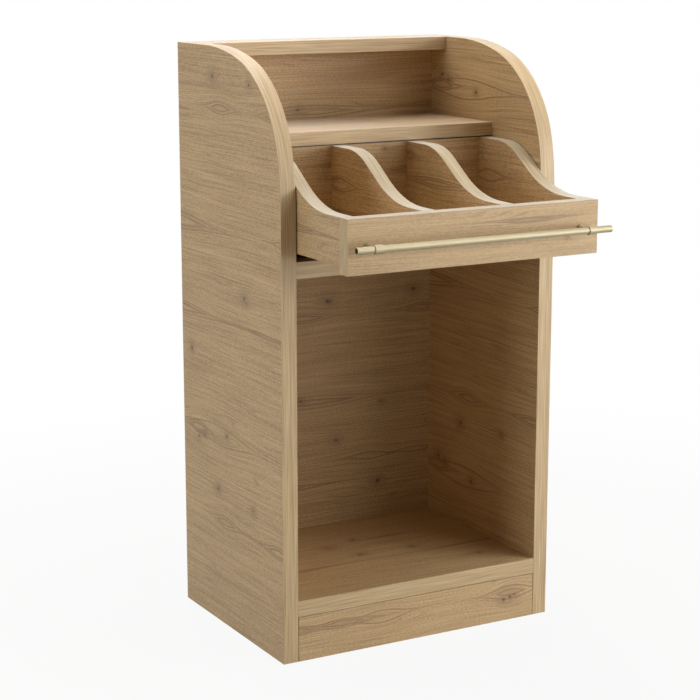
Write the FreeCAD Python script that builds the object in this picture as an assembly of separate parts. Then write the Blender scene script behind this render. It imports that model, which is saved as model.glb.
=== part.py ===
import FreeCAD, Part
import os
from math import cos, radians, sin, tan

Vector = FreeCAD.Vector

# Waiter service station: a tall open cabinet of veneered boards with a raised cutlery drawer.
# X is the width, with X = 0 on the centre line. Y is the depth, with Y = 0 on the cabinet's
# front plane and +Y towards the wall. Z is up from the floor. Millimetres.

# ---- cabinet ----
cabinet_width = 575
cabinet_depth = 420
cabinet_height = 1100
side_thickness = 30
back_thickness = 28
plinth_height = 85
plinth_thickness = 18
plinth_gap = 1                  # shadow gap at the plinth's two ends and along its top
shelf_thickness = 30            # bottom shelf and middle shelf
thin_board = 25                 # upper shelf and top rail
lower_opening = 593             # clear height between the bottom shelf and the middle shelf
upper_shelf_setback = 169       # from the cabinet's front plane to the upper shelf's front edge
rail_depth = 54
band_thickness = 1              # solid oak strip on every edge that shows
edge_ease = 0.4                 # softened corner of the strips

# rounded front corner of the side panels: three tangent arcs, from the front edge to the top
sweep_radius = 456
corner_radius = 215
lower_sweep_angle = 11.5
corner_angle = 61.4

# ---- carcass fasteners ----
cam_radius = 7.5
cam_inset = 34                  # from a board's end to the cam's axis
cam_past_axis = 5               # how far a cam reaches beyond its bolt's axis
cam_from_front = 50
cam_from_rear = 60
rail_cam_from_front = 18
bolt_radius = 3
bolt_thread_radius = 4
bolt_in_side = 11
bolt_head_length = 2.5
dowel_radius = 4
dowel_in_face = 13              # length of a dowel in the board whose face is drilled
dowel_in_edge = 23              # length of a dowel in the board whose end is drilled
dowel_from_cam = 32
rail_dowel_from_cam = 21
back_cam_first = 150            # height of the lowest fixing of the back panel
back_cam_from_top = 60
back_cam_count = 4
fit = 0.1                       # radial clearance of everything that sits in a drilled hole
hole_spare = 1                  # how much deeper a blind hole is than what it holds

# ---- plinth blocks ----
block_width = 60
block_size = 30
block_from_end = 45             # from the plinth's end to the block
screw_radius = 1.75
screw_head_radius = 3.5
screw_head_height = 2
screw_point = 4
block_screw_length = 38

# ---- drawer ----
drawer_open = 180               # how far the drawer stands out at rest
drawer_travel = 300             # from shut to fully out
drawer_side_gap = 2
drawer_lift = 15                # from the middle shelf to the drawer sides' lower edge
drawer_foot_gap = 2             # between the middle shelf and the drawer front
front_thickness = 28
front_height = 96
drawer_board = 26               # sides, dividers and back
drawer_rear_space = 15          # between the shut drawer and the back panel
drawer_head_gap = 2.5           # between the drawer's tall end and the upper shelf
ogee_start = 69.5               # from the drawer front's face to where the top edge starts to rise
ogee_rise = 81.5
ogee_angle = 33.5
ogee_hollow_radius = 205
ogee_crown_radius = 122
drawer_bottom_thickness = 8
groove_depth = 6
groove_height = 6               # from the drawer sides' lower edge to the groove
groove_fit = 0.2
dowel_low = 27                  # heights of the drawer's dowels above its sides' lower edge
dowel_step = 35
back_dowel_step = 50

# ---- drawer runners: telescopic ball slides between the middle shelf and the drawer's bottom ----
runner_width = 36
runner_wall_gap = 37            # from the runner to the side panel
notch_gap = 1                   # round a runner where it passes the drawer's back
runner_front_gap = 3            # from the shut drawer front to the runner's front end
runner_rear_gap = 21            # from the back panel to the runner's rear end
runner_sheet = 1.5
outer_wall_height = 11
outer_wall = 2.8
ball_radius = 2
groove_clearance = 0.05
wall_to_wall = 1.4              # running gap that the ball cages fill
cage_thickness = 0.8
cage_height = 5
cage_margin = 10
balls_per_row = 6
lower_ball_height = 6
upper_ball_height = 9
middle_floor = 2.5
middle_wall = 4.2
middle_height = 12
middle_shortening = 31          # the middle member is this much shorter than the runner
drawer_member_foot = 5.5
drawer_member_wall = 3
runner_screw_length = 10
runner_screw_inset = 45
pan_head_radius = 3
pan_head_height = 1.5
drawer_screw_length = 6.5

# ---- bar handle ----
bar_radius = 6.35
bar_wall = 1
bar_standoff = 35               # from the drawer front's face to the bar's axis
bar_overhang = 41.25            # beyond each post's axis
post_inset = 38.25              # from the drawer front's end to the post's axis
post_base_radius = 5.75
post_base_thickness = 3.5
post_stem_radius = 3.5
collar_radius = 8
collar_length = 16
collar_chamfer = 0.3
bar_fit = 0.05
handle_screw_radius = 2
washer_radius = 5
washer_thickness = 1
handle_head_radius = 4
handle_head_height = 2.7

# ---- sizes that follow from those above ----
half_width = cabinet_width / 2
inner_half = half_width - side_thickness
back_face = cabinet_depth - back_thickness
bottom_shelf_top = plinth_height + shelf_thickness
middle_shelf_foot = bottom_shelf_top + lower_opening
middle_shelf_top = middle_shelf_foot + shelf_thickness

drawer_half = inner_half - drawer_side_gap
front_foot = middle_shelf_top + drawer_foot_gap
front_top = front_foot + front_height
drawer_foot = middle_shelf_top + drawer_lift
drawer_top = front_top + ogee_rise
drawer_face = -drawer_open
drawer_inside = drawer_face + front_thickness
drawer_rear = back_face - drawer_rear_space - drawer_open
drawer_back_face = drawer_rear - drawer_board
drawer_inner_half = drawer_half - drawer_board
compartment_width = (2 * drawer_inner_half - 2 * drawer_board) / 3
divider_centre = compartment_width / 2 + drawer_board / 2
bottom_panel_foot = drawer_foot + groove_height
bottom_panel_top = bottom_panel_foot + drawer_bottom_thickness

upper_shelf_foot = drawer_top + drawer_head_gap
upper_shelf_top = upper_shelf_foot + thin_board
rail_front = back_face - rail_depth
rail_foot = cabinet_height - thin_board

runner_front = front_thickness + runner_front_gap
runner_rear = back_face - runner_rear_gap
runner_length = runner_rear - runner_front
runner_height = drawer_lift + groove_height
runner_x = inner_half - runner_wall_gap - runner_width / 2
outer_wall_face = runner_width / 2 - outer_wall
lower_ball_x = outer_wall_face - wall_to_wall / 2
middle_outer_face = outer_wall_face - wall_to_wall
middle_inner_face = middle_outer_face - middle_wall
upper_ball_x = middle_inner_face - wall_to_wall / 2
drawer_member_face = middle_inner_face - wall_to_wall
middle_length = runner_length - middle_shortening
middle_front_shut = runner_front + middle_shortening / 3
middle_rear_shut = middle_front_shut + middle_length

post_x = drawer_half - post_inset
bar_y = drawer_face - bar_standoff
bar_z = (front_foot + front_top) / 2

left = -1
right = 1
side_names = {left: "left", right: "right"}
same_place = 0.01               # points closer than this count as one
x_axis = Vector(1, 0, 0)
y_axis = Vector(0, 1, 0)
z_axis = Vector(0, 0, 1)


# ---- helpers ----
def box(x0, x1, y0, y1, z0, z1):
    return Part.makeBox(abs(x1 - x0), y1 - y0, z1 - z0, Vector(min(x0, x1), y0, z0))


def rod(radius, start, direction, length):
    return Part.makeCylinder(radius, length, start, direction)


def plate(edges, x0, x1):
    """A flat piece cut to a closed outline in the Y-Z plane, from x0 to x1."""
    face = Part.Face(Part.Wire(edges))
    return face.translated(Vector(min(x0, x1), 0, 0)).extrude(Vector(abs(x1 - x0), 0, 0))


def line(y0, z0, y1, z1):
    return Part.LineSegment(Vector(0, y0, z0), Vector(0, y1, z1)).toShape()


def arc(centre_y, centre_z, radius, angle_0, angle_1):
    """An arc in the Y-Z plane, with its angles in degrees from +Y towards +Z."""
    points = []
    for angle in (angle_0, (angle_0 + angle_1) / 2, angle_1):
        turn = radians(angle)
        points.append(Vector(0, centre_y + radius * cos(turn), centre_z + radius * sin(turn)))
    return Part.Arc(*points).toShape()


def edges_at(shape, x=None, y=None, z=None):
    """The edges that lie wholly at the given coordinates."""
    found = []
    for edge in shape.Edges:
        reach = edge.BoundBox
        spans = ((x, reach.XMin, reach.XMax), (y, reach.YMin, reach.YMax), (z, reach.ZMin, reach.ZMax))
        misses = [
            max(abs(low - place), abs(high - place)) for place, low, high in spans if place is not None
        ]
        if max(misses) < same_place:
            found.append(edge)
    return found


def eased(strip, core):
    """A strip with its outer long corners softened; the core is the board that it is glued to."""
    long_edges = []
    for edge in strip.Edges:
        middle = edge.valueAt((edge.FirstParameter + edge.LastParameter) / 2)
        if Part.Vertex(middle).distToShape(core)[0] < 0.9 * band_thickness:
            continue
        if edge.Length > 3 * band_thickness:
            long_edges.append(edge)
    return strip.makeFillet(edge_ease, long_edges)


def save(name, *solids):
    shape = solids[0] if len(solids) == 1 else Part.makeCompound(list(solids))
    shape.exportStep("parts/" + name + ".step")


# ---- fasteners ----
holes = []          # every hole drilled for a carcass fastener
cams = []
cam_bolts = []
dowels = []


def dowel(face_point, into_edge, drilled):
    """A beech dowel across a joint: face_point lies where the two boards meet."""
    start = face_point - into_edge * dowel_in_face
    length = dowel_in_face + dowel_in_edge
    hole_start = start - into_edge * hole_spare
    drilled.append(rod(dowel_radius + fit, hole_start, into_edge, length + 2 * hole_spare))
    return rod(dowel_radius, start, into_edge, length)


def cam_joint(end, inward, to_mouth, mouth_distance):
    """A cam and bolt: end is where the bolt's axis meets the side panel, inward points along the
    board, and to_mouth points from that axis to the face that the cam is let into."""
    centre = end + inward * cam_inset
    mouth = centre + to_mouth * mouth_distance
    depth = mouth_distance + cam_past_axis
    down = to_mouth * -1
    holes.append(rod(cam_radius + fit, mouth, down, depth + fit))
    bolt_hole_start = end - inward * (bolt_in_side + hole_spare)
    bolt_hole_length = bolt_in_side + hole_spare + cam_inset
    holes.append(rod(bolt_thread_radius + fit, bolt_hole_start, inward, bolt_hole_length))

    cam = rod(cam_radius, mouth, down, depth)
    pocket = rod(bolt_thread_radius + fit, end, inward, cam_inset + bolt_head_length)
    slot_length = 1.3 * cam_radius
    slot_width = cam_radius / 5
    slot = Part.makeBox(slot_length, slot_width, slot_width, Vector(-slot_length / 2, -slot_width / 2, 0))
    slot = slot.fuse(slot.rotated(Vector(0, 0, 0), z_axis, 90))
    turn = FreeCAD.Rotation(z_axis, down)
    slot.Placement = FreeCAD.Placement(mouth, turn)
    cams.append(cam.cut([pocket, slot]))

    bolt = rod(bolt_radius, end - inward * bolt_in_side, inward, bolt_in_side + cam_inset)
    thread = rod(bolt_thread_radius, end - inward * bolt_in_side, inward, bolt_in_side)
    head = rod(bolt_thread_radius, centre - inward * bolt_head_length / 2, inward, bolt_head_length)
    cam_bolts.append(bolt.fuse([thread, head]))


def wood_screw(head_point, direction, length, drilled):
    """A countersunk wood screw with its head flush at head_point."""
    neck = head_point + direction * screw_head_height
    shank_length = length - screw_head_height - screw_point
    head = Part.makeCone(screw_head_radius, screw_radius, screw_head_height, head_point, direction)
    shank = rod(screw_radius, neck, direction, shank_length)
    shank_end = neck + direction * shank_length
    tip = Part.makeCone(screw_radius, screw_radius / 4, screw_point, shank_end, direction)
    sink_radius = screw_head_radius + fit
    sink = Part.makeCone(sink_radius, screw_radius + fit, screw_head_height, head_point, direction)
    drilled.append(sink.fuse(rod(screw_radius + fit, head_point, direction, length + hole_spare)))
    return head.fuse([shank, tip])


# ---- side panels ----
corner_start = 180 - lower_sweep_angle
corner_end = corner_start - corner_angle
# centres of the three arcs, each found from the one before; the top one touches the cabinet's top
top_centre_z = cabinet_height - sweep_radius
centre_shift = sweep_radius - corner_radius
corner_centre_z = top_centre_z + centre_shift * sin(radians(corner_end))
low_centre_z = corner_centre_z - centre_shift * sin(radians(corner_start))
low_centre_y = sweep_radius
corner_centre_y = low_centre_y + centre_shift * cos(radians(corner_start))
top_centre_y = corner_centre_y - centre_shift * cos(radians(corner_end))


def side_chain(inset):
    """The panel's front edge, rounded corner and top edge, taken in by the inset."""
    sweep = sweep_radius - inset
    corner = corner_radius - inset
    return [
        line(inset, 0, inset, low_centre_z),
        arc(low_centre_y, low_centre_z, sweep, 180, corner_start),
        arc(corner_centre_y, corner_centre_z, corner, corner_start, corner_end),
        arc(top_centre_y, top_centre_z, sweep, corner_end, 90),
        line(top_centre_y, cabinet_height - inset, cabinet_depth, cabinet_height - inset),
    ]


def side_panel(side):
    top = cabinet_height - band_thickness
    outline = side_chain(band_thickness) + [
        line(cabinet_depth, top, cabinet_depth, 0),
        line(cabinet_depth, 0, band_thickness, 0),
    ]
    return plate(outline, side * inner_half, side * half_width)


def side_band(side):
    core_top = cabinet_height - band_thickness
    outline = side_chain(0) + side_chain(band_thickness) + [
        line(cabinet_depth, cabinet_height, cabinet_depth, core_top),
        line(band_thickness, 0, 0, 0),
    ]
    strip = plate(Part.__sortEdges__(outline), side * inner_half, side * half_width)
    return eased(strip, side_panel(side))


# ---- boards between the side panels ----
def cross_board(y0, y1, z0, z1):
    """A board from side to side, behind the oak strip on its front edge."""
    return box(-inner_half, inner_half, y0 + band_thickness, y1, z0, z1)


def front_strip(y0, z0, z1):
    """The oak strip on a cross board's front edge, with its front corners softened."""
    strip = box(-inner_half, inner_half, y0, y0 + band_thickness, z0, z1)
    return strip.makeFillet(edge_ease, edges_at(strip, y=y0))


def fix_cross_board(y0, y1, z0, z1, cam_ys, dowel_ys):
    """Cams, let into the underside, and dowels at both ends of a cross board."""
    axis_z = (z0 + z1) / 2
    for side in (left, right):
        inward = x_axis * -side
        for y in cam_ys:
            cam_joint(Vector(side * inner_half, y, axis_z), inward, z_axis * -1, axis_z - z0)
        for y in dowel_ys:
            dowels.append(dowel(Vector(side * inner_half, y, axis_z), inward, holes))


def fix_deep_board(y0, y1, z0, z1):
    front_cam = y0 + cam_from_front
    rear_cam = y1 - cam_from_rear
    dowel_ys = (front_cam + dowel_from_cam, rear_cam - dowel_from_cam)
    fix_cross_board(y0, y1, z0, z1, (front_cam, rear_cam), dowel_ys)


def fix_back_panel():
    axis_y = cabinet_depth - back_thickness / 2
    last = cabinet_height - back_cam_from_top
    step = (last - back_cam_first) / (back_cam_count - 1)
    for side in (left, right):
        inward = x_axis * -side
        for index in range(back_cam_count):
            z = back_cam_first + index * step
            cam_joint(Vector(side * inner_half, axis_y, z), inward, y_axis, back_thickness / 2)
            dowels.append(dowel(Vector(side * inner_half, axis_y, z - dowel_from_cam), inward, holes))


bottom_shelf = cross_board(0, back_face, plinth_height, bottom_shelf_top)
middle_shelf = cross_board(0, back_face, middle_shelf_foot, middle_shelf_top)
upper_shelf = cross_board(upper_shelf_setback, back_face, upper_shelf_foot, upper_shelf_top)
top_rail = cross_board(rail_front, back_face, rail_foot, cabinet_height)
back_core_top = cabinet_height - band_thickness
back_panel = box(-inner_half, inner_half, back_face, cabinet_depth, 0, back_core_top)

fix_deep_board(0, back_face, plinth_height, bottom_shelf_top)
fix_deep_board(0, back_face, middle_shelf_foot, middle_shelf_top)
fix_deep_board(upper_shelf_setback, back_face, upper_shelf_foot, upper_shelf_top)
rail_cam = rail_front + rail_cam_from_front
rail_dowel = rail_cam + rail_dowel_from_cam
fix_cross_board(rail_front, back_face, rail_foot, cabinet_height, (rail_cam,), (rail_dowel,))
fix_back_panel()

back_top_strip = box(
    -inner_half, inner_half, back_face, cabinet_depth, back_core_top, cabinet_height,
)
strips = [
    front_strip(0, plinth_height, bottom_shelf_top),
    front_strip(0, middle_shelf_foot, middle_shelf_top),
    front_strip(upper_shelf_setback, upper_shelf_foot, upper_shelf_top),
    front_strip(rail_front, rail_foot, cabinet_height),
    back_top_strip,
]

# ---- plinth: a loose board held by two glued and screwed corner blocks ----
plinth_half = inner_half - plinth_gap
plinth_top = plinth_height - plinth_gap
plinth = box(-plinth_half, plinth_half, 0, plinth_thickness, 0, plinth_top)
plinth_eased_edges = [edge for edge in edges_at(plinth, y=0) if edge.BoundBox.ZMax > plinth_gap]
plinth = plinth.makeFillet(edge_ease, plinth_eased_edges)
blocks = []
block_screws = []
block_holes = []
for side in (left, right):
    block_outer = side * (plinth_half - block_from_end)
    block_inner = block_outer - side * block_width
    block_rear = plinth_thickness + block_size
    block_foot = plinth_height - block_size
    blocks.append(box(block_inner, block_outer, plinth_thickness, block_rear, block_foot, plinth_height))
    third = (block_outer - block_inner) / 3
    up_head = Vector(block_inner + third, plinth_thickness + block_size / 2, block_foot)
    block_screws.append(wood_screw(up_head, z_axis, block_screw_length, block_holes))
    front_head = Vector(block_outer - third, block_rear, plinth_height - block_size / 2)
    block_screws.append(wood_screw(front_head, y_axis * -1, block_screw_length, block_holes))

# ---- drawer boards ----
drawer_dowels = []
drawer_holes = []


def ogee_chain(inset, y_first, y_last):
    """The top edge of the drawer's sides and dividers: level, hollow, slope, crown, level."""
    low_y = drawer_face + ogee_start
    turn = radians(ogee_angle)
    hollow_rise = ogee_hollow_radius * (1 - cos(turn))
    crown_rise = ogee_crown_radius * (1 - cos(turn))
    slope_run = (ogee_rise - hollow_rise - crown_rise) / tan(turn)
    high_y = low_y + (ogee_hollow_radius + ogee_crown_radius) * sin(turn) + slope_run
    hollow = ogee_hollow_radius + inset
    crown = ogee_crown_radius - inset
    hollow_centre_z = front_top + ogee_hollow_radius
    crown_centre_z = drawer_top - ogee_crown_radius
    slope_foot_y = low_y + hollow * sin(turn)
    slope_foot_z = hollow_centre_z - hollow * cos(turn)
    slope_head_y = high_y - crown * sin(turn)
    slope_head_z = crown_centre_z + crown * cos(turn)
    return [
        line(y_first, front_top - inset, low_y, front_top - inset),
        arc(low_y, hollow_centre_z, hollow, -90, ogee_angle - 90),
        line(slope_foot_y, slope_foot_z, slope_head_y, slope_head_z),
        arc(high_y, crown_centre_z, crown, 90 + ogee_angle, 90),
        line(high_y, drawer_top - inset, y_last, drawer_top - inset),
    ]


def ogee_board(x0, x1, foot, y_last):
    """A drawer side or divider and the oak strip along its shaped top edge."""
    core_low = front_top - band_thickness
    core_high = drawer_top - band_thickness
    outline = ogee_chain(band_thickness, drawer_inside, y_last) + [
        line(y_last, core_high, y_last, foot),
        line(y_last, foot, drawer_inside, foot),
        line(drawer_inside, foot, drawer_inside, core_low),
    ]
    core = plate(outline, x0, x1)
    strip_outline = ogee_chain(0, drawer_inside, y_last) + ogee_chain(band_thickness, drawer_inside, y_last)
    strip_outline += [
        line(y_last, core_high, y_last, drawer_top),
        line(drawer_inside, core_low, drawer_inside, front_top),
    ]
    strip = plate(Part.__sortEdges__(strip_outline), x0, x1)
    return core, eased(strip, core)


def dowel_row(x, y, direction, heights):
    for z in heights:
        drawer_dowels.append(dowel(Vector(x, y, z), direction, drawer_holes))


front_dowel_heights = [drawer_foot + dowel_low + index * dowel_step for index in range(2)]
back_dowel_heights = [drawer_foot + dowel_low + index * back_dowel_step for index in range(3)]
bottom_reach = drawer_inner_half + groove_depth
bottom_front = drawer_inside - groove_depth
bottom_rear = drawer_back_face + groove_depth
drawer_bottom = box(
    -bottom_reach, bottom_reach, bottom_front, bottom_rear, bottom_panel_foot, bottom_panel_top,
)
bottom_groove = box(
    -bottom_reach - groove_fit, bottom_reach + groove_fit,
    bottom_front - groove_fit, bottom_rear + groove_fit,
    bottom_panel_foot, bottom_panel_top,
)

drawer_sides = {}
dividers = {}
ogee_strips = []
for side in (left, right):
    core, strip = ogee_board(side * drawer_inner_half, side * drawer_half, drawer_foot, drawer_rear)
    drawer_sides[side] = core
    ogee_strips.append(strip)
    side_centre = side * (drawer_half - drawer_board / 2)
    dowel_row(side_centre, drawer_inside, y_axis, front_dowel_heights)
    back_dowel_y = drawer_rear - drawer_board / 2
    dowel_row(side * drawer_inner_half, back_dowel_y, x_axis * -side, back_dowel_heights)

    inner = side * (divider_centre - drawer_board / 2)
    outer = side * (divider_centre + drawer_board / 2)
    core, strip = ogee_board(inner, outer, bottom_panel_top, drawer_back_face)
    dividers[side] = core
    ogee_strips.append(strip)
    dowel_row(side * divider_centre, drawer_inside, y_axis, front_dowel_heights)
    dowel_row(side * divider_centre, drawer_back_face, y_axis * -1, back_dowel_heights)

drawer_back = box(
    -drawer_inner_half, drawer_inner_half, drawer_back_face, drawer_rear,
    drawer_foot, drawer_top - band_thickness,
)
drawer_back_strip = box(
    -drawer_inner_half, drawer_inner_half, drawer_back_face, drawer_rear,
    drawer_top - band_thickness, drawer_top,
)
runner_notches = []
for side in (left, right):
    notch_half = drawer_member_face + notch_gap
    runner_notches.append(box(
        side * runner_x - notch_half, side * runner_x + notch_half,
        drawer_back_face, drawer_rear, drawer_foot, bottom_panel_foot,
    ))

front_core_half = drawer_half - band_thickness
front_core_foot = front_foot + band_thickness
front_core_top = front_top - band_thickness
drawer_front = box(
    -front_core_half, front_core_half, drawer_face, drawer_inside, front_core_foot, front_core_top,
)
long_strips = []
for z0, outer_z in ((front_foot, front_foot), (front_core_top, front_top)):
    z1 = z0 + band_thickness
    strip = box(-front_core_half, front_core_half, drawer_face, drawer_inside, z0, z1)
    long_strips.append(strip.makeFillet(edge_ease, edges_at(strip, y=drawer_face, z=outer_z)))
end_strips = []
for side in (left, right):
    inner_x = side * front_core_half
    outer_x = side * drawer_half
    strip = box(inner_x, outer_x, drawer_face, drawer_inside, front_foot, front_top)
    end_strips.append(strip.makeFillet(edge_ease, edges_at(strip, x=outer_x, y=drawer_face)))

# ---- bar handle: a tube in two turned posts, each held by a screw through the drawer front ----
bar_half = post_x + bar_overhang
bar_start = Vector(-bar_half, bar_y, bar_z)
bar = rod(bar_radius, bar_start, x_axis, 2 * bar_half)
bar = bar.cut(rod(bar_radius - bar_wall, bar_start, x_axis, 2 * bar_half))
handle_screw_end = bar_y + bar_radius + fit
posts = {}
handle_screws = []
handle_washers = []
handle_holes = []
for side in (left, right):
    axis_x = side * post_x
    base = rod(post_base_radius, Vector(axis_x, drawer_face, bar_z), y_axis * -1, post_base_thickness)
    stem = rod(post_stem_radius, Vector(axis_x, drawer_face, bar_z), y_axis * -1, bar_standoff)
    collar_start = Vector(axis_x - collar_length / 2, bar_y, bar_z)
    collar = rod(collar_radius, collar_start, x_axis, collar_length)
    rims = [edge for edge in collar.Edges if edge.BoundBox.XLength < same_place]
    collar = collar.makeChamfer(collar_chamfer, rims)
    bore = rod(bar_radius + bar_fit, collar_start, x_axis, collar_length)
    thread_length = drawer_face - bar_y
    thread = rod(handle_screw_radius + fit, Vector(axis_x, drawer_face, bar_z), y_axis * -1, thread_length)
    posts[side] = base.fuse([stem, collar]).cut([bore, thread])

    washer_face = Vector(axis_x, drawer_inside, bar_z)
    head_face = washer_face + y_axis * washer_thickness
    washer = rod(washer_radius, washer_face, y_axis, washer_thickness)
    handle_washers.append(washer.cut(rod(handle_screw_radius + fit, washer_face, y_axis, washer_thickness)))
    shank = rod(handle_screw_radius, head_face, y_axis * -1, head_face.y - handle_screw_end)
    head = rod(handle_head_radius, head_face, y_axis, handle_head_height)
    handle_screws.append(shank.fuse(head))
    handle_holes.append(rod(handle_screw_radius + fit, washer_face, y_axis * -1, front_thickness))

# ---- runners ----
shelf_screws = []
shelf_screw_holes = []
runner_drawer_screws = []
runner_drawer_holes = []


def profile_bar(x0, x1, y0, y1, z0, z1):
    """A length of runner section, with its heights measured from the middle shelf's top."""
    return box(x0, x1, y0, y1, middle_shelf_top + z0, middle_shelf_top + z1)


def ball_track(x, height, y0, y1):
    start = Vector(x, y0, middle_shelf_top + height)
    return rod(ball_radius + groove_clearance, start, y_axis, y1 - y0)


def outer_member(centre):
    """The cabinet's channel, screwed flat to the middle shelf."""
    half = runner_width / 2
    y0 = runner_front
    y1 = runner_rear
    web = profile_bar(centre - half, centre + half, y0, y1, 0, runner_sheet)
    pieces = []
    tracks = []
    for side in (left, right):
        inner = centre + side * outer_wall_face
        outer = centre + side * half
        pieces.append(profile_bar(inner, outer, y0, y1, 0, outer_wall_height))
        tracks.append(ball_track(centre + side * lower_ball_x, lower_ball_height, y0, y1))
    channel = web.fuse(pieces).removeSplitter()
    head_z = middle_shelf_top + runner_sheet
    screw_holes = []
    for y in (y0 + runner_screw_inset, (y0 + y1) / 2, y1 - runner_screw_inset):
        head_point = Vector(centre, y, head_z)
        length = runner_sheet + runner_screw_length
        shelf_screws.append(wood_screw(head_point, z_axis * -1, length, screw_holes))
    shelf_screw_holes.extend(screw_holes)
    return channel.cut(tracks + screw_holes)


def middle_member(centre):
    """The channel between the two rows of balls; it moves half as far as the drawer."""
    y0 = middle_front_shut - drawer_open / 2
    y1 = y0 + middle_length
    web_x0 = centre - middle_outer_face
    web_x1 = centre + middle_outer_face
    web = profile_bar(web_x0, web_x1, y0, y1, middle_floor, middle_floor + runner_sheet)
    pieces = []
    tracks = []
    for side in (left, right):
        inner = centre + side * middle_inner_face
        outer = centre + side * middle_outer_face
        pieces.append(profile_bar(inner, outer, y0, y1, middle_floor, middle_height))
        tracks.append(ball_track(centre + side * lower_ball_x, lower_ball_height, y0, y1))
        tracks.append(ball_track(centre + side * upper_ball_x, upper_ball_height, y0, y1))
    return web.fuse(pieces).removeSplitter().cut(tracks)


def drawer_member(centre):
    """The inverted channel that is screwed up into the drawer's bottom."""
    y0 = runner_front - drawer_open
    y1 = runner_rear - drawer_open
    top = runner_height
    web_foot = top - runner_sheet
    web_half = drawer_member_face
    web = profile_bar(centre - web_half, centre + web_half, y0, y1, web_foot, top)
    pieces = []
    tracks = []
    for side in (left, right):
        outer = centre + side * drawer_member_face
        inner = outer - side * drawer_member_wall
        pieces.append(profile_bar(inner, outer, y0, y1, drawer_member_foot, top))
        tracks.append(ball_track(centre + side * upper_ball_x, upper_ball_height, y0, y1))
    channel = web.fuse(pieces).removeSplitter()
    head_z = middle_shelf_top + web_foot
    screw_holes = []
    for y in (y0 + runner_screw_inset, (y0 + y1) / 2, y1 - runner_screw_inset):
        head_face = Vector(centre, y, head_z)
        head = rod(pan_head_radius, head_face, z_axis * -1, pan_head_height)
        shank = rod(screw_radius, head_face, z_axis, runner_sheet + drawer_screw_length)
        runner_drawer_screws.append(head.fuse(shank))
        hole_length = runner_sheet + drawer_screw_length + hole_spare
        screw_holes.append(rod(screw_radius + fit, head_face, z_axis, hole_length))
    runner_drawer_holes.extend(screw_holes)
    return channel.cut(tracks + screw_holes)


def ball_cage(centre, ball_x, ball_height, y0, y1):
    """Two plastic strips, one each side of the runner, and the steel balls that they space."""
    strips_of_cage = []
    balls = []
    z = middle_shelf_top + ball_height
    step = (y1 - y0) / balls_per_row
    for side in (left, right):
        x = centre + side * ball_x
        x0 = x - cage_thickness / 2
        z0 = z - cage_height / 2
        strip = box(x0, x0 + cage_thickness, y0, y1, z0, z0 + cage_height)
        seats = []
        for index in range(balls_per_row):
            ball_centre = Vector(x, y0 + (index + 0.5) * step, z)
            balls.append(Part.makeSphere(ball_radius, ball_centre))
            seat_start = ball_centre - x_axis * ball_radius
            seats.append(rod(ball_radius + fit, seat_start, x_axis, 2 * ball_radius))
        strips_of_cage.append(strip.cut(seats))
    return strips_of_cage, balls


# each cage rolls half as far as the member that it carries moves past the one below it, and
# stays between the two over the whole travel
quarter = drawer_travel / 4
lower_cage_front = runner_front + quarter + cage_margin
lower_cage_rear = middle_rear_shut - quarter - cage_margin
upper_cage_front = middle_front_shut + quarter + cage_margin
upper_cage_rear = runner_rear - quarter - cage_margin

for side in (left, right):
    name = side_names[side]
    centre = side * runner_x
    save("runner_cabinet_member_" + name, outer_member(centre))
    save("runner_middle_member_" + name, middle_member(centre))
    save("runner_drawer_member_" + name, drawer_member(centre))
    shift = drawer_open / 4
    cages, balls = ball_cage(
        centre, lower_ball_x, lower_ball_height, lower_cage_front - shift, lower_cage_rear - shift,
    )
    save("lower_ball_cage_" + name, *cages)
    save("lower_bearing_balls_" + name, *balls)
    shift = drawer_open * 3 / 4
    cages, balls = ball_cage(
        centre, upper_ball_x, upper_ball_height, upper_cage_front - shift, upper_cage_rear - shift,
    )
    save("upper_ball_cage_" + name, *cages)
    save("upper_bearing_balls_" + name, *balls)
save("runner_shelf_screws", *shelf_screws)
save("runner_drawer_screws", *runner_drawer_screws)

# ---- write the cabinet ----
for side in (left, right):
    name = side_names[side]
    save("side_panel_" + name, side_panel(side).cut(holes))
    save("side_edge_strip_" + name, side_band(side))
save("bottom_shelf", bottom_shelf.cut(holes + block_holes))
save("middle_shelf", middle_shelf.cut(holes + shelf_screw_holes))
save("upper_shelf", upper_shelf.cut(holes))
save("top_rail", top_rail.cut(holes))
save("back_panel", back_panel.cut(holes))
save("board_edge_strips", *strips)
save("plinth_board", plinth.cut(block_holes))
save("plinth_blocks", *[block.cut(block_holes) for block in blocks])
save("plinth_block_screws", *block_screws)
save("cam_fittings", *cams)
save("cam_bolts", *cam_bolts)
save("carcass_dowels", *dowels)

# ---- write the drawer ----
save("drawer_front", drawer_front.cut(drawer_holes + handle_holes + [bottom_groove]))
save("drawer_front_long_strips", *long_strips)
save("drawer_front_end_strips", *end_strips)
for side in (left, right):
    name = side_names[side]
    save("drawer_side_" + name, drawer_sides[side].cut(drawer_holes + [bottom_groove]))
    save("drawer_divider_" + name, dividers[side].cut(drawer_holes))
    save("handle_post_" + name, posts[side])
save("drawer_side_edge_strips", *ogee_strips)
save("drawer_back_edge_strip", drawer_back_strip)
save("drawer_back", drawer_back.cut(drawer_holes + [bottom_groove] + runner_notches))
save("drawer_bottom", drawer_bottom.cut(runner_drawer_holes))
save("drawer_dowels", *drawer_dowels)
save("handle_bar", bar)
save("handle_screws", *handle_screws)
save("handle_washers", *handle_washers)
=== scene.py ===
from math import pi, radians

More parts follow.
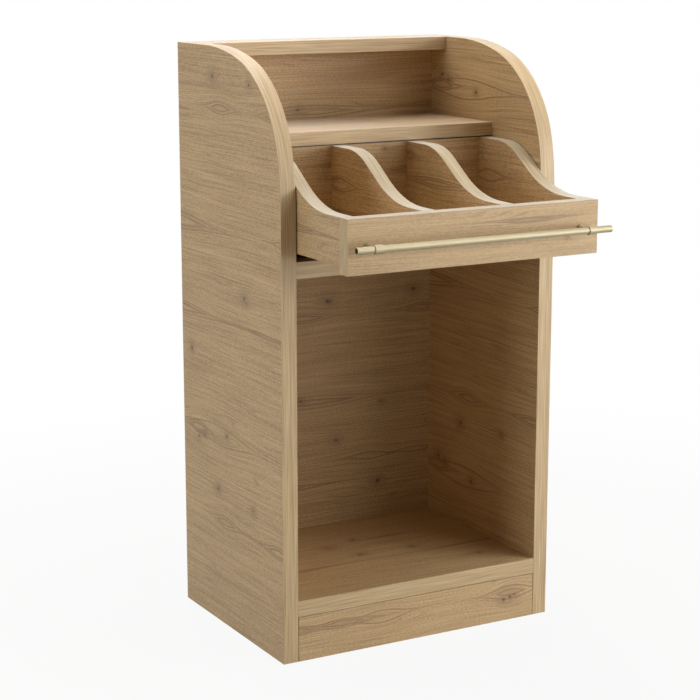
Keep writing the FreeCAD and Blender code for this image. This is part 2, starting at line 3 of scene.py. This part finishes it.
import bpy
import bmesh
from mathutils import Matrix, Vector

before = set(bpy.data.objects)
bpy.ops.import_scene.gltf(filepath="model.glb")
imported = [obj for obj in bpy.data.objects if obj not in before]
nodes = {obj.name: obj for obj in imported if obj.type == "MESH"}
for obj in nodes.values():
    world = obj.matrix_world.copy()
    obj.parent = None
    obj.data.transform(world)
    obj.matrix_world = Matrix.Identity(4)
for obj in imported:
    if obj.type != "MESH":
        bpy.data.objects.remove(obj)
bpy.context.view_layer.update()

scene = bpy.context.scene
scene.view_settings.view_transform = "Standard"

# ---- Camera ----
# The station is seen from the height of its top, turned so that its left side shows, through a
# long lens that keeps its upright edges nearly parallel.
camera_place = (-1.7918, -2.9352, 1.2931)
camera_tilt, camera_turn = 12.124, -29.217      # degrees down from level, and to the right
camera = bpy.data.objects.new("camera", bpy.data.cameras.new("camera"))
camera.data.sensor_width = 36
camera.data.lens = 98.9
camera.location = camera_place
camera.rotation_euler = (radians(90 - camera_tilt), 0, radians(camera_turn))
scene.collection.objects.link(camera)
scene.camera = camera


# ---- Floor ----
# A seamless white studio floor. It takes a faint shadow where the cabinet stands on it and fades
# to plain white further off, so that no horizon shows.
def linear(code):
    """The linear colour of an sRGB hex code such as "c8a67c", with an alpha of 1."""
    parts = [int(code[i:i + 2], 16) / 255 for i in (0, 2, 4)]
    return [p / 12.92 if p <= 0.04045 else ((p + 0.055) / 1.055) ** 2.4 for p in parts] + [1]


def add(tree, kind, inputs=None, **settings):
    """Adds a shader node with its settings, and fills its inputs with values or links."""
    node = tree.nodes.new("ShaderNode" + kind)
    for name, value in settings.items():
        setattr(node, name, value)
    for socket, value in (inputs or {}).items():
        if isinstance(value, bpy.types.NodeSocket):
            tree.links.new(value, node.inputs[socket])
        else:
            node.inputs[socket].default_value = value
    return node


def seen_directly(tree):
    """1 for a ray from the camera, from glossy metal or through glass, and 0 for light."""
    rays = add(tree, "LightPath")
    either = rays.outputs["Is Camera Ray"]
    for ray in ("Is Glossy Ray", "Is Transmission Ray"):
        either = add(tree, "Math", {0: either, 1: rays.outputs[ray]},
                     operation="MAXIMUM").outputs[0]
    return either


floor_half = 8                      # metres
white_near, white_far = 0.92, 1.0   # the rest of the floor's colour is what light and shadow give
fade_from, fade_to = 0.5, 2.2       # metres from the cabinet's middle
floor_paint = "b0ada8"

mesh = bpy.data.meshes.new("studio_floor")
work = bmesh.new()
bmesh.ops.create_grid(work, x_segments=1, y_segments=1, size=floor_half)
work.to_mesh(mesh)
work.free()
floor = bpy.data.objects.new("studio_floor", mesh)
scene.collection.objects.link(floor)

material = bpy.data.materials.new("white studio floor")
material.use_nodes = True
tree = material.node_tree
tree.nodes.clear()
matt = add(tree, "BsdfDiffuse", {"Color": linear(floor_paint)})
white = add(tree, "Emission", {"Color": (1, 1, 1, 1), "Strength": 1})
away = add(tree, "VectorMath", {0: add(tree, "TexCoord").outputs["Object"]}, operation="LENGTH")
fade = add(tree, "MapRange", {0: away.outputs["Value"], 1: fade_from, 2: fade_to,
                              3: white_near, 4: white_far}, interpolation_type="SMOOTHSTEP")
share = add(tree, "Math", {0: seen_directly(tree), 1: fade.outputs[0]}, operation="MULTIPLY")
both = add(tree, "MixShader", {0: share.outputs[0], 1: matt.outputs[0], 2: white.outputs[0]})
add(tree, "OutputMaterial", {"Surface": both.outputs[0]})
mesh.materials.append(material)

# ---- Studio light ----
# Soft boxes above and behind for the pale upper edges, to the right for the front and high on the
# right for the shelves, and a weaker one to the left. The room behind them is dark.
world = bpy.data.worlds.new("white studio")
scene.world = world
world.use_nodes = True
tree = world.node_tree
tree.nodes.clear()
dark = add(tree, "Background", {"Strength": 0})
white = add(tree, "Background", {"Color": (1, 1, 1, 1), "Strength": 1})
both = add(tree, "MixShader", {0: seen_directly(tree), 1: dark.outputs[0], 2: white.outputs[0]})
add(tree, "OutputWorld", {"Surface": both.outputs[0]})

aim = Vector((0, 0, 0.6))
for name, place, size, power in (   # metres and watts
        ("overhead_soft_box", (0.0, 0.5, 3.9), 2.0, 63),
        ("rear_soft_box", (0.0, 1.8, 3.4), 2.0, 53),
        ("left_soft_box", (-3.8, 0.0, 1.6), 1.8, 59),
        ("right_soft_box", (3.6, -2.4, 0.95), 2.4, 178),
        ("high_right_soft_box", (1.8, -2.0, 3.6), 2.0, 38),
        ("front_right_soft_box", (1.9, -3.2, 1.2), 1.8, 20)):
    lamp = bpy.data.objects.new(name, bpy.data.lights.new(name, "AREA"))
    lamp.data.shape = "SQUARE"
    lamp.data.size = size
    lamp.data.energy = power
    lamp.location = place
    lamp.rotation_euler = (aim - lamp.location).to_track_quat("-Z", "Y").to_euler()
    lamp.visible_camera = False
    scene.collection.objects.link(lamp)

# ---- Side panels ----
# Particle board faced on both sides with a knotty oak decor under matt lacquer, whose grain runs
# level, from front to back: dull tan wood with fine broken lines, pointed flames and small knots.
# The decor repeats up the board, and the right side carries it upside down.
oak_dark, oak_mid, oak_light = "997d59", "bd9e72", "d5b78a"
oak_line, oak_heart, oak_shade = "795b3c", "4a3826", "886b4a"
oak_roughness = 0.52
lacquer_spread = 0.35               # how widely the lacquer's haze shows round a flat angle
pore_depth, pore_bump = 0.0002, 0.4     # metres, and the share of it that shows
flame_bend = 2.4                    # how far across the rings still bend, in half heights
flame_line, line_width = 0.9, 2.8   # a flame outline's strength, and its width in mm
line_tail = 0.24                    # how soon that outline fades along the grain
line_level, line_swing = 0.85, 0.8  # the lines' strength, and how much it varies along them
ring_gap, ring_wander = 8, 60       # mm between late-wood lines, and how far they crowd and part
ring_crest = 2.2                    # the higher, the thinner those lines
ring_breaks, ring_fade = 0.42, 1.5  # how much of them is broken off, and how sharply
knot_length = 4 / 3                 # a knot's shade along the grain, for its size across
knot_push = 0.35                    # how far a knot pushes the rings apart, for its size
knot_level, knot_swing = 0.55, 1.2  # the shade's strength, and how blotchy it is
heart_from, heart_edge, heart_swing = 0.9, 8, 0.3   # how small, sharp and ragged the heart is
bell_base = 0.3679                  # one over e, so that POWER with a square gives a bell


def veneer(name, axes, flames, knots, shift=(0, 0, 0), turn=(1, 1, 1), seed=0.0, contrast=1.0,
           streaks=0.16, haze=0.0):
    """Oak decor on a board. axes are the object's axes along the grain, across it and through
    the board. A flame (along, across, reach, half height, inner line) is where the rings part
    round a pointed eye, and a knot is (along, across, shade radius, darkness), all in mm. streaks
    is how strong the broad ones are, and haze how white the lacquer looks at a flat angle."""
    material = bpy.data.materials.new(name)
    material.use_nodes = True
    tree = material.node_tree
    shader = tree.nodes["Principled BSDF"]
    spot = add(tree, "SeparateXYZ", {0: add(tree, "TexCoord").outputs["Object"]})
    board = add(tree, "CombineXYZ", {i: spot.outputs[axis] for i, axis in enumerate(axes)})
    flat = add(tree, "VectorMath", {0: board.outputs[0], 1: [1000 * t for t in turn], 2: shift},
               operation="MULTIPLY_ADD").outputs[0]

    def maths(operation, *values, clamp=False):
        return add(tree, "Math", dict(enumerate(values)), operation=operation,
                   use_clamp=clamp).outputs[0]

    def mist(vector, along, across, detail=1.0, offset=0.0):
        """Noise whose patches are that long and wide in mm, between 0 and 1."""
        sized = add(tree, "VectorMath", {0: vector, 1: (1 / along, 1 / across, 1 / across),
                                         2: (seed + offset, offset, 0)}, operation="MULTIPLY_ADD")
        return add(tree, "TexNoise", {"Vector": sized.outputs[0], "Scale": 1.0,
                                      "Detail": detail}).outputs["Fac"]

    def lean(value, amount, base):
        """base plus value's distance from its middle times amount."""
        return maths("MULTIPLY_ADD", maths("SUBTRACT", value, 0.5), amount, base)

    # the sheet, whose grain wanders: each bend's length, width, place in the noise and reach
    parts = add(tree, "SeparateXYZ", {0: flat})
    across = parts.outputs[1]
    for length, width, offset, reach in ((240, 60, 3.1, 9.0), (45, 12, 7.7, 2.2)):
        across = lean(mist(flat, length, width, 1.0, offset), reach, across)
    place = add(tree, "CombineXYZ", {0: parts.outputs[0], 1: across,
                                     2: parts.outputs[2]}).outputs[0]

    def bell_round(along, height, length, width):
        """The squared distance from a spot, in those lengths, and a bell of it."""
        near = add(tree, "VectorMath", {
            0: place, 1: (1 / length, 1 / width, 0),
            2: (-along / length, -height / width, 0)}, operation="MULTIPLY_ADD").outputs[0]
        square = add(tree, "VectorMath", {0: near, 1: near},
                     operation="DOT_PRODUCT").outputs["Value"]
        return square, maths("POWER", bell_base, square)

    # the rings part round each flame, whose outline shows as a thin dark line
    rings, line = across, 0.0
    for along, height, reach, half, inner in flames:
        square, bell = bell_round(along, height, reach, flame_bend * half)
        above = maths("SUBTRACT", across, height)
        rings = maths("MULTIPLY_ADD", maths("MULTIPLY", maths("SIGN", above), bell), -half, rings)
        outline = maths("MULTIPLY_ADD", bell, -half, maths("ABSOLUTE", above))
        within = maths("ABSOLUTE", maths("ADD", outline, inner * half))
        nearest = maths("MINIMUM", maths("ABSOLUTE", outline), within)
        drawn = maths("SUBTRACT", flame_line, maths("DIVIDE", nearest, line_width), clamp=True)
        tail = maths("POWER", bell_base, maths("MULTIPLY", square, line_tail))
        line = maths("MAXIMUM", line, maths("MULTIPLY", drawn, tail))
    shade = 0.0
    for along, height, radius, darkness in knots:
        bell = bell_round(along, height, knot_length * radius, radius)[1]
        side = maths("SIGN", maths("SUBTRACT", across, height))
        rings = maths("MULTIPLY_ADD", maths("MULTIPLY", side, bell), -knot_push * radius, rings)
        shade = maths("MAXIMUM", shade, maths("MULTIPLY", bell, darkness))
    grained = add(tree, "CombineXYZ", {0: parts.outputs[0], 1: rings,
                                       2: parts.outputs[2]}).outputs[0]

    # tone of the wood. Real pores are about 0.3 mm wide: they are drawn as lines 1 to 2 mm wide,
    # so that they show.
    tone = 0.5
    for sheet, length, width, detail, offset, strength in (
            (grained, 5, 1.6, 0, 8.8, 1.0),         # pores
            (grained, 130, 1.2, 0, 1.3, 1.1),       # fibres
            (grained, 220, 2.4, 0, 4.9, 0.4),       # bundles of fibres
            (grained, 420, 14, 1, 2.2, streaks),    # broad streaks
            (flat, 260, 70, 1, 9.4, 0.2)):          # slow patches
        tone = lean(mist(sheet, length, width, detail, offset), strength, tone)
    tone = lean(tone, contrast, 0.5)
    wood = add(tree, "ValToRGB", {0: tone})
    wood.color_ramp.elements[0].color = linear(oak_dark)
    wood.color_ramp.elements[1].color = linear(oak_light)
    wood.color_ramp.elements.new(0.5).color = linear(oak_mid)

    # thin late-wood lines all over, faint and broken: only the crest of each wave shows
    waved = lean(mist(flat, 300, 34, 1.0, 5.5), ring_wander, rings)
    waved = maths("MULTIPLY", waved, 2 * pi / ring_gap)
    faint = maths("MULTIPLY_ADD", maths("SINE", waved), ring_crest, 1 - ring_crest, clamp=True)
    kept = maths("SUBTRACT", mist(flat, 130, 30, 1.0, 6.1), ring_breaks)
    broken = maths("MULTIPLY", kept, ring_fade, clamp=True)
    line = maths("MAXIMUM", line, maths("MULTIPLY", faint, broken))
    level = lean(mist(grained, 60, 3, 1.0, 0.7), line_swing, line_level)
    line = maths("MULTIPLY", line, level, clamp=True)
    ringed = add(tree, "Mix", {0: line, 6: wood.outputs["Color"], 7: linear(oak_line)},
                 data_type="RGBA", clamp_factor=True).outputs[2]

    # knots: a soft brown shade round a small ragged heart
    colour = ringed
    if knots:
        blotches = lean(mist(flat, 16, 6, 2.0, 8.0), knot_swing, knot_level)
        soft = maths("MULTIPLY", shade, blotches, clamp=True)
        shaded = add(tree, "Mix", {0: soft, 6: ringed, 7: linear(oak_shade)},
                     data_type="RGBA").outputs[2]
        ragged = lean(mist(flat, 5, 2.4, 1.0, 6.6), heart_swing, shade)
        heart = maths("MULTIPLY", maths("SUBTRACT", ragged, heart_from), heart_edge, clamp=True)
        colour = add(tree, "Mix", {0: heart, 6: shaded, 7: linear(oak_heart)},
                     data_type="RGBA").outputs[2]
    tree.links.new(colour, shader.inputs["Base Color"])
    bump = add(tree, "Bump", {"Height": tone, "Strength": pore_bump, "Distance": pore_depth})
    tree.links.new(bump.outputs[0], shader.inputs["Normal"])
    shader.inputs["Roughness"].default_value = oak_roughness
    shader.inputs["Sheen Weight"].default_value = haze
    shader.inputs["Sheen Roughness"].default_value = lacquer_spread
    return material


def finish(material, *names):
    """Gives CAD nodes that material."""
    for name in names:
        slots = nodes[name].data.materials
        slots.clear()
        slots.append(material)


repeat = 783                    # height of the decor's sheet, mm
panel_height = 1100
sheet_flames = [                # from the front edge at 0 to the back edge at 420
    (238, 989, 46, 13, 0.55), (18, 988, 46, 11, 0.5), (430, 763, 132, 17, 0.43),
    (-30, 768, 40, 12, 0.5), (430, 594, 124, 13, 0.45), (262, 371, 112, 22, 1.4),
    (352, 368, 42, 13, 0.45), (60, 597, 90, 4, 0.5)]
sheet_knots = [
    (269, 1047, 16, 0.99), (119, 1040, 12, 0.97), (147, 653, 16, 1.0), (140, 647, 12, 0.97),
    (378, 519, 13, 1.0), (352, 349, 14, 0.99), (328, 357, 13, 0.97), (227, 376, 11, 1.0)]


def decor(marks, low):
    """The marks of a panel that is cut from that height of the repeated sheet."""
    margin = 20
    return [(along, height + repeat * k, *rest) for k in (-1, 0, 1)
            for along, height, *rest in marks
            if low - margin < height + repeat * k < low + panel_height + margin]


finish(veneer("knotty oak decor, left side", "YZX", decor(sheet_flames, 0),
              decor(sheet_knots, 0)), "side_panel_left")
cut_height = 272                # where on the sheet the right side starts, from its top down
finish(veneer("knotty oak decor, right side", "YZX", decor(sheet_flames, cut_height),
              decor(sheet_knots, cut_height), shift=(0, cut_height + panel_height, 0),
              turn=(1, -1, 1), seed=2.0), "side_panel_right")

# ---- Back panel ----
# One full-height board of the same decor between the sides. It closes the back and stands on
# the floor.
finish(veneer("knotty oak decor, back", "XZY", [
    (-42, 549, 58, 11, 0.5), (236, 548, 37, 10, 0.5), (-22, 374, 122, 14, 0.59),
    (300, 378, 62, 11, 0.5), (112, 248, 38, 8, 1.4), (222, 249, 36, 6, 1.4),
    (-22, 960, 122, 14, 0.59), (300, 964, 62, 11, 0.5), (-120, 200, 90, 9, 0.5),
    (60, 760, 130, 14, 0.4), (-200, 640, 90, 12, 0.5)],
    [(18, 582, 18, 1.0), (217, 588, 15, 1.0), (-45, 379, 10, 0.98), (36, 290, 14, 0.98),
     (143, 358, 8, 0.97), (134, 192, 14, 1.0), (-46, 965, 14, 0.99), (-170, 700, 14, 1.0)],
    seed=5.0), "back_panel")

# ---- Shelves and rail ----
# Boards of the same decor with the grain along the width, dowelled and cammed between the sides:
# the floor of the open compartment, the shelf that carries the drawer, the shallow top shelf and
# the rail along the back.
finish(veneer("knotty oak decor, bottom shelf", "XYZ", [
    (-190, 148, 90, 6, 0.5), (200, 146, 90, 4, 0.5), (85, 264, 40, 4, 0.5)],
    [(8, 272, 11, 0.98), (-24, 184, 13, 0.99), (90, 180, 12, 0.98), (186, 82, 11, 1.0),
     (-62, 251, 16, 0.95)],
    seed=9.0), "bottom_shelf")
finish(veneer("knotty oak decor, middle shelf", "XYZ", [
    (-150, 120, 90, 12, 0.5), (120, 240, 130, 14, 0.5)], [(60, 60, 10, 1.0)],
    seed=13.0), "middle_shelf")
finish(veneer("knotty oak decor, top shelf and rail", "XYZ", [
    (-60, 290, 150, 12, 0.5), (170, 360, 60, 9, 0.5)], [], seed=17.0, haze=0.6),
    "upper_shelf", "top_rail")


# ---- Edge strips ----
# Thin strips of straight-grained oak glued round the edges that show. The grain runs along
# each edge, bent with it where the edge curves. Those on top of the drawer are of paler oak.
strip_roughness, strip_spread, strip_bump = 0.46, 0.4, 0.3


def strip(name, fibre, seed, dark, middle, light, haze):
    """Straight oak grain whose fibres have that size in mm along X, Y and Z, so that it shows
    as long fine lines. They are drawn about three times as wide as real ones, to show."""
    material = bpy.data.materials.new(name)
    material.use_nodes = True
    tree = material.node_tree
    shader = tree.nodes["Principled BSDF"]
    place = add(tree, "TexCoord").outputs["Object"]
    tone = 0.5
    for wider, weight in ((0.6, 1.75), (1.3, 0.3)):     # fine lines, and a few broader ones
        sized = add(tree, "VectorMath", {0: place, 1: [1000 / (f * wider) for f in fibre],
                                         2: (seed, seed * wider, 0)}, operation="MULTIPLY_ADD")
        noise = add(tree, "TexNoise", {"Vector": sized.outputs[0], "Scale": 1.0, "Detail": 1.0})
        level = add(tree, "Math", {0: noise.outputs["Fac"], 1: 0.5}, operation="SUBTRACT")
        tone = add(tree, "Math", {0: level.outputs[0], 1: weight, 2: tone},
                   operation="MULTIPLY_ADD").outputs[0]
    wood = add(tree, "ValToRGB", {0: tone})
    wood.color_ramp.elements[0].color = linear(dark)
    wood.color_ramp.elements[1].color = linear(light)
    wood.color_ramp.elements.new(0.5).color = linear(middle)
    tree.links.new(wood.outputs["Color"], shader.inputs["Base Color"])
    bump = add(tree, "Bump", {"Height": tone, "Strength": strip_bump, "Distance": pore_depth})
    tree.links.new(bump.outputs[0], shader.inputs["Normal"])
    shader.inputs["Roughness"].default_value = strip_roughness
    shader.inputs["Sheen Weight"].default_value = haze
    shader.inputs["Sheen Roughness"].default_value = strip_spread
    return material


plain_oak = ("9a7f5b", "c0a47a", "dac196")
pale_oak = ("877455", "a8936f", "c2af88")
finish(strip("oak edge strip, up the sides", (1.5, 160, 160), 1.0, *plain_oak, haze=0.3),
       "side_edge_strip_left", "side_edge_strip_right")
finish(strip("oak edge strip, along the boards", (160, 1.5, 1.5), 2.0, *plain_oak, haze=0.1),
       "board_edge_strips")
finish(strip("oak edge strip, drawer front ends", (1.5, 1.5, 60), 3.0, *plain_oak, haze=0.1),
       "drawer_front_end_strips")
finish(strip("pale oak edge strip, S-shaped edges", (1.5, 160, 160), 4.0, *pale_oak, haze=0.65),
       "drawer_side_edge_strips")
finish(strip("pale oak edge strip, drawer top edges", (160, 1.5, 1.5), 5.0, *pale_oak, haze=0.48),
       "drawer_front_long_strips", "drawer_back_edge_strip")

# ---- Plinth ----
# A board of the same decor under the bottom shelf, with a shadow gap round it, held by two beech
# blocks.
finish(veneer("knotty oak decor, plinth", "XZY", [
    (-262, 59, 38, 9, 0.5), (-165, 58, 52, 9, 0.5), (-85, 57, 50, 12, 1.4),
    (205, 55, 44, 15, 0.6)],
    [(190, 42, 12, 0.99), (204, 45, 14, 0.98), (213, 49, 11, 0.98)], seed=21.0, contrast=0.85),
    "plinth_board")

# ---- Drawer ----
# A cutlery drawer of the same decor. Its sides and two dividers rise to the back in an S, and
# its front closes flush between the cabinet's sides.
finish(veneer("knotty oak decor, drawer front", "XZY", [
    (110, 812, 60, 5, 0.5)], [(190, 773, 6, 0.9)], seed=25.0, contrast=0.52, streaks=1.0),
    "drawer_front")
finish(veneer("knotty oak decor, drawer sides", "YZX", [
    (135, 850, 40, 13, 1.4), (20, 800, 90, 8, 0.5)], [], seed=29.0),
    "drawer_side_left", "drawer_side_right", "drawer_divider_left")
finish(veneer("knotty oak decor, second divider", "YZX", [
    (160, 893, 22, 9, 0.5), (60, 850, 90, 10, 0.5)], [], seed=33.0), "drawer_divider_right")
finish(veneer("knotty oak decor, drawer back and bottom", "XZY", [
    (-60, 880, 50, 7, 0.5), (90, 865, 70, 8, 0.5)], [(20, 905, 7, 0.95)], seed=37.0),
    "drawer_back", "drawer_bottom")

# ---- Handle ----
# A brass tube held by two turned posts with collars, brushed along its length and lacquered, so
# that it shines in long soft streaks of pale gold. Real brush marks are too fine to show: they
# are drawn wider.
brush_length, brush_width = 40, 0.6         # mm
brush_depth, brush_bump = 0.0001, 0.25      # metres, and the share of it that shows
brass_shiny, brass_dull = 0.5, 0.62         # roughness
material = bpy.data.materials.new("satin brass")
material.use_nodes = True
tree = material.node_tree
shader = tree.nodes["Principled BSDF"]
brush_scale = (1000 / brush_length, 1000 / brush_width, 1000 / brush_width)
sized = add(tree, "VectorMath", {0: add(tree, "TexCoord").outputs["Object"], 1: brush_scale},
            operation="MULTIPLY")
brushed = add(tree, "TexNoise", {"Vector": sized.outputs[0], "Scale": 1.0, "Detail": 1.0})
dull = add(tree, "MapRange", {0: brushed.outputs["Fac"], 1: 0.3, 2: 0.7,
                              3: brass_shiny, 4: brass_dull})
tree.links.new(dull.outputs[0], shader.inputs["Roughness"])
bump = add(tree, "Bump", {"Height": brushed.outputs["Fac"], "Strength": brush_bump,
                          "Distance": brush_depth})
tree.links.new(bump.outputs[0], shader.inputs["Normal"])
shader.inputs["Base Color"].default_value = linear("978c6e")
shader.inputs["Metallic"].default_value = 1.0
shader.inputs["Coat Weight"].default_value = 0.7
shader.inputs["Coat Roughness"].default_value = 0.3
finish(material, "handle_bar", "handle_post_left", "handle_post_right")


# ---- Runners and fasteners ----
# Rolled steel ball runners under the drawer, their black plastic cages and polished balls, zinc
# plated screws and bolts, cast zinc cams, and beech dowels and blocks. The plated and cast metal
# shines a dull grey, the balls are bright, and the plastic and the beech are matt.
gloss_swing = 0.06


def plain(name, colour, roughness, metallic, grit, variation):
    """A finish whose gloss and tone vary a little, in patches of that size in mm."""
    material = bpy.data.materials.new(name)
    material.use_nodes = True
    tree = material.node_tree
    shader = tree.nodes["Principled BSDF"]
    sized = add(tree, "VectorMath", {0: add(tree, "TexCoord").outputs["Object"],
                                     1: [1000 / g for g in grit]}, operation="MULTIPLY")
    patches = add(tree, "TexNoise", {"Vector": sized.outputs[0], "Scale": 1.0, "Detail": 2.0})
    tone = add(tree, "MapRange", {0: patches.outputs["Fac"], 1: 0.2, 2: 0.8,
                                  3: 1 - variation, 4: 1 + variation})
    tint = add(tree, "VectorMath", {0: linear(colour)[:3], 3: tone.outputs[0]}, operation="SCALE")
    tree.links.new(tint.outputs[0], shader.inputs["Base Color"])
    dull = add(tree, "MapRange", {0: patches.outputs["Fac"], 1: 0.2, 2: 0.8,
                                  3: roughness - gloss_swing, 4: roughness + gloss_swing})
    tree.links.new(dull.outputs[0], shader.inputs["Roughness"])
    shader.inputs["Metallic"].default_value = metallic
    return material


steel = plain("zinc plated runner steel", "a8a49c", 0.45, 1.0, (3, 30, 3), 0.10)
finish(steel, *[f"runner_{m}_member_{s}" for m in ("cabinet", "middle", "drawer")
                for s in ("left", "right")])
finish(plain("polished ball steel", "c4c6c8", 0.12, 1.0, (1, 1, 1), 0.04),
       *[f"{row}_bearing_balls_{s}" for row in ("lower", "upper") for s in ("left", "right")])
finish(plain("black acetal cage", "1c1c1e", 0.42, 0.0, (2, 2, 2), 0.15),
       *[f"{row}_ball_cage_{s}" for row in ("lower", "upper") for s in ("left", "right")])
finish(plain("zinc plated steel", "b9bcbd", 0.30, 1.0, (1, 1, 1), 0.08), "cam_bolts",
       "plinth_block_screws", "runner_shelf_screws", "runner_drawer_screws", "handle_screws",
       "handle_washers")
finish(plain("cast zinc", "a3a5a4", 0.45, 1.0, (0.8, 0.8, 0.8), 0.10), "cam_fittings")
finish(plain("planed beech", "d2a77c", 0.6, 0.0, (12, 1, 1), 0.12), "plinth_blocks",
       "carcass_dowels", "drawer_dowels")
